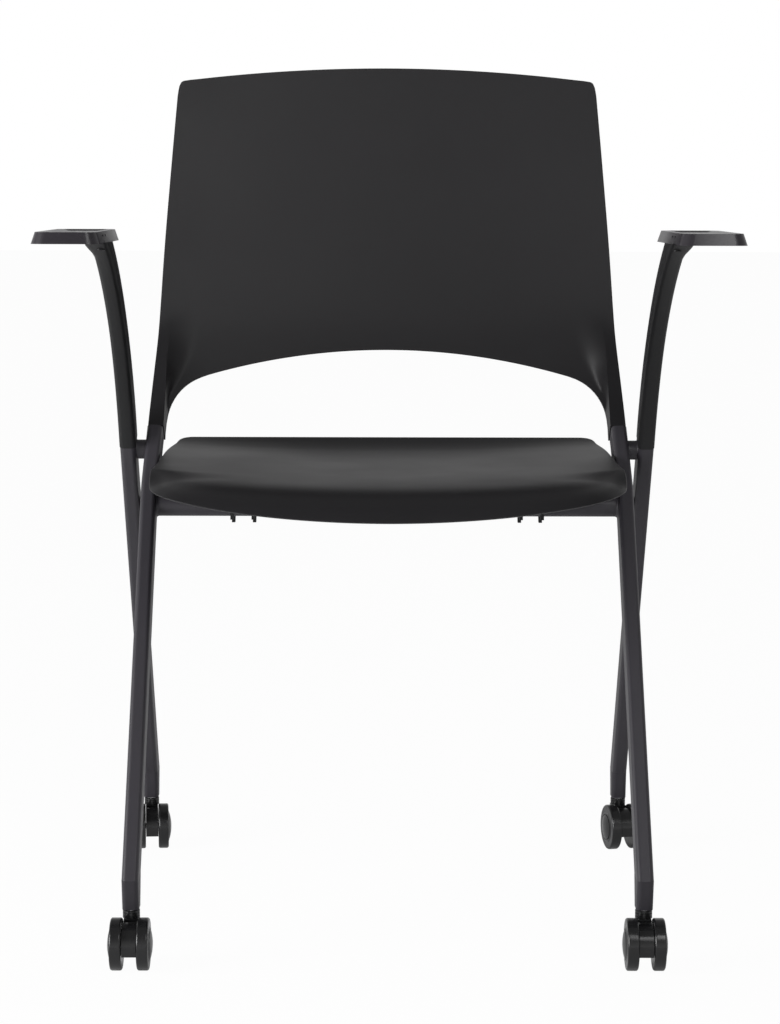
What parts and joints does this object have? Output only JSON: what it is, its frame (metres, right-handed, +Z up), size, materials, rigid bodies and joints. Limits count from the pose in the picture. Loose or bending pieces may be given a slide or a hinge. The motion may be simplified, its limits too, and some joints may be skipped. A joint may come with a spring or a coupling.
{
  "type": "nesting chair",
  "caption": "Stackable side-nesting chair on casters: crossed steel tube sides, flip-up dished seat, curved one-piece back and swept arms with flat pads.",
  "frame": {"origin": "on the floor under the middle of the chair", "axes": "+Z up; the chair faces -Y; +X is to the right for someone looking at its front"},
  "size_m": [0.667, 0.5501, 0.8685],
  "materials": {
    "frame_paint": "satin",
    "shell_plastic": "matte",
    "arm_plastic": "matte",
    "pad_plastic": "matte",
    "bracket_plastic": "matte",
    "ferrule_plastic": "matte",
    "caster_plastic": "gloss",
    "wheel_plastic": "gloss",
    "screw_steel": "black oxide",
    "bright_steel": "zinc plated",
    "pad_rubber": "matte"
  },
  "bodies": {
    "frame": {"arm_left": "arm_plastic", "arm_pad_left": "pad_plastic", "arm_pad_right": "pad_plastic", "arm_right": "arm_plastic", "arm_screws": "screw_steel", "back_screws": "screw_steel", "back_shell": "shell_plastic", "caster_stem_front_left": "bright_steel", "caster_stem_front_right": "bright_steel", "caster_stem_rear_left": "bright_steel", "caster_stem_rear_right": "bright_steel", "ferrule_front_left": "ferrule_plastic", "ferrule_front_right": "ferrule_plastic", "ferrule_rear_left": "ferrule_plastic", "ferrule_rear_right": "ferrule_plastic", "front_leg_left": "frame_paint", "front_leg_right": "frame_paint", "hinge_rail": "frame_paint", "hub_bridge_left": "frame_paint", "hub_bridge_right": "frame_paint", "pad_screws": "screw_steel", "rear_leg_left": "frame_paint", "rear_leg_right": "frame_paint", "seat_rest_rail": "frame_paint"},
    "seat": {"cap_screws": "screw_steel", "hinge_cap_left": "bracket_plastic", "hinge_cap_right": "bracket_plastic", "rest_pads": "pad_rubber", "seat_bracket_left": "bracket_plastic", "seat_bracket_right": "bracket_plastic", "seat_screws": "screw_steel", "seat_shell": "shell_plastic"},
    "swivel_front_left": {"caster_fork_front_left": "caster_plastic", "caster_axle_front_left": "bright_steel"},
    "wheel_front_left_outer": {"caster_wheel_front_left_outer": "wheel_plastic", "caster_cap_front_left_outer": "wheel_plastic"},
    "wheel_front_left_inner": {"caster_wheel_front_left_inner": "wheel_plastic", "caster_cap_front_left_inner": "wheel_plastic"},
    "swivel_front_right": {"caster_fork_front_right": "caster_plastic", "caster_axle_front_right": "bright_steel"},
    "wheel_front_right_outer": {"caster_wheel_front_right_outer": "wheel_plastic", "caster_cap_front_right_outer": "wheel_plastic"},
    "wheel_front_right_inner": {"caster_wheel_front_right_inner": "wheel_plastic", "caster_cap_front_right_inner": "wheel_plastic"},
    "swivel_rear_left": {"caster_fork_rear_left": "caster_plastic", "caster_axle_rear_left": "bright_steel"},
    "wheel_rear_left_outer": {"caster_wheel_rear_left_outer": "wheel_plastic", "caster_cap_rear_left_outer": "wheel_plastic"},
    "wheel_rear_left_inner": {"caster_wheel_rear_left_inner": "wheel_plastic", "caster_cap_rear_left_inner": "wheel_plastic"},
    "swivel_rear_right": {"caster_fork_rear_right": "caster_plastic", "caster_axle_rear_right": "bright_steel"},
    "wheel_rear_right_outer": {"caster_wheel_rear_right_outer": "wheel_plastic", "caster_cap_rear_right_outer": "wheel_plastic"},
    "wheel_rear_right_inner": {"caster_wheel_rear_right_inner": "wheel_plastic", "caster_cap_rear_right_inner": "wheel_plastic"}
  },
  "joints": [
    {"name": "seat_flip", "type": "hinge", "parent": "frame", "child": "seat", "pos_m": [0, 0.088, 0.408], "axis": [-1, 0, 0], "range_deg": [0, 50]},
    {"name": "swivel_front_left", "type": "hinge", "parent": "frame", "child": "swivel_front_left", "pos_m": [-0.245, -0.228, 0.05], "axis": [0, 0, 1], "continuous": true},
    {"name": "roll_front_left_outer", "type": "hinge", "parent": "swivel_front_left", "child": "wheel_front_left_outer", "pos_m": [-0.245, -0.246, 0.025], "axis": [1, 0, 0], "continuous": true},
    {"name": "roll_front_left_inner", "type": "hinge", "parent": "swivel_front_left", "child": "wheel_front_left_inner", "pos_m": [-0.245, -0.246, 0.025], "axis": [1, 0, 0], "continuous": true},
    {"name": "swivel_front_right", "type": "hinge", "parent": "frame", "child": "swivel_front_right", "pos_m": [0.245, -0.228, 0.05], "axis": [0, 0, 1], "continuous": true},
    {"name": "roll_front_right_outer", "type": "hinge", "parent": "swivel_front_right", "child": "wheel_front_right_outer", "pos_m": [0.245, -0.246, 0.025], "axis": [1, 0, 0], "continuous": true},
    {"name": "roll_front_right_inner", "type": "hinge", "parent": "swivel_front_right", "child": "wheel_front_right_inner", "pos_m": [0.245, -0.246, 0.025], "axis": [1, 0, 0], "continuous": true},
    {"name": "swivel_rear_left", "type": "hinge", "parent": "frame", "child": "swivel_rear_left", "pos_m": [-0.2639, 0.262, 0.05], "axis": [0, 0, 1], "continuous": true},
    {"name": "roll_rear_left_outer", "type": "hinge", "parent": "swivel_rear_left", "child": "wheel_rear_left_outer", "pos_m": [-0.26233, 0.24407, 0.025], "axis": [0.9962, 0.0872, 0], "continuous": true},
    {"name": "roll_rear_left_inner", "type": "hinge", "parent": "swivel_rear_left", "child": "wheel_rear_left_inner", "pos_m": [-0.26233, 0.24407, 0.025], "axis": [0.9962, 0.0872, 0], "continuous": true},
    {"name": "swivel_rear_right", "type": "hinge", "parent": "frame", "child": "swivel_rear_right", "pos_m": [0.2639, 0.262, 0.05], "axis": [0, 0, 1], "continuous": true},
    {"name": "roll_rear_right_outer", "type": "hinge", "parent": "swivel_rear_right", "child": "wheel_rear_right_outer", "pos_m": [0.26764, 0.24439, 0.025], "axis": [0.9781, 0.2079, 0], "continuous": true},
    {"name": "roll_rear_right_inner", "type": "hinge", "parent": "swivel_rear_right", "child": "wheel_rear_right_inner", "pos_m": [0.26764, 0.24439, 0.025], "axis": [0.9781, 0.2079, 0], "continuous": true}
  ]
}
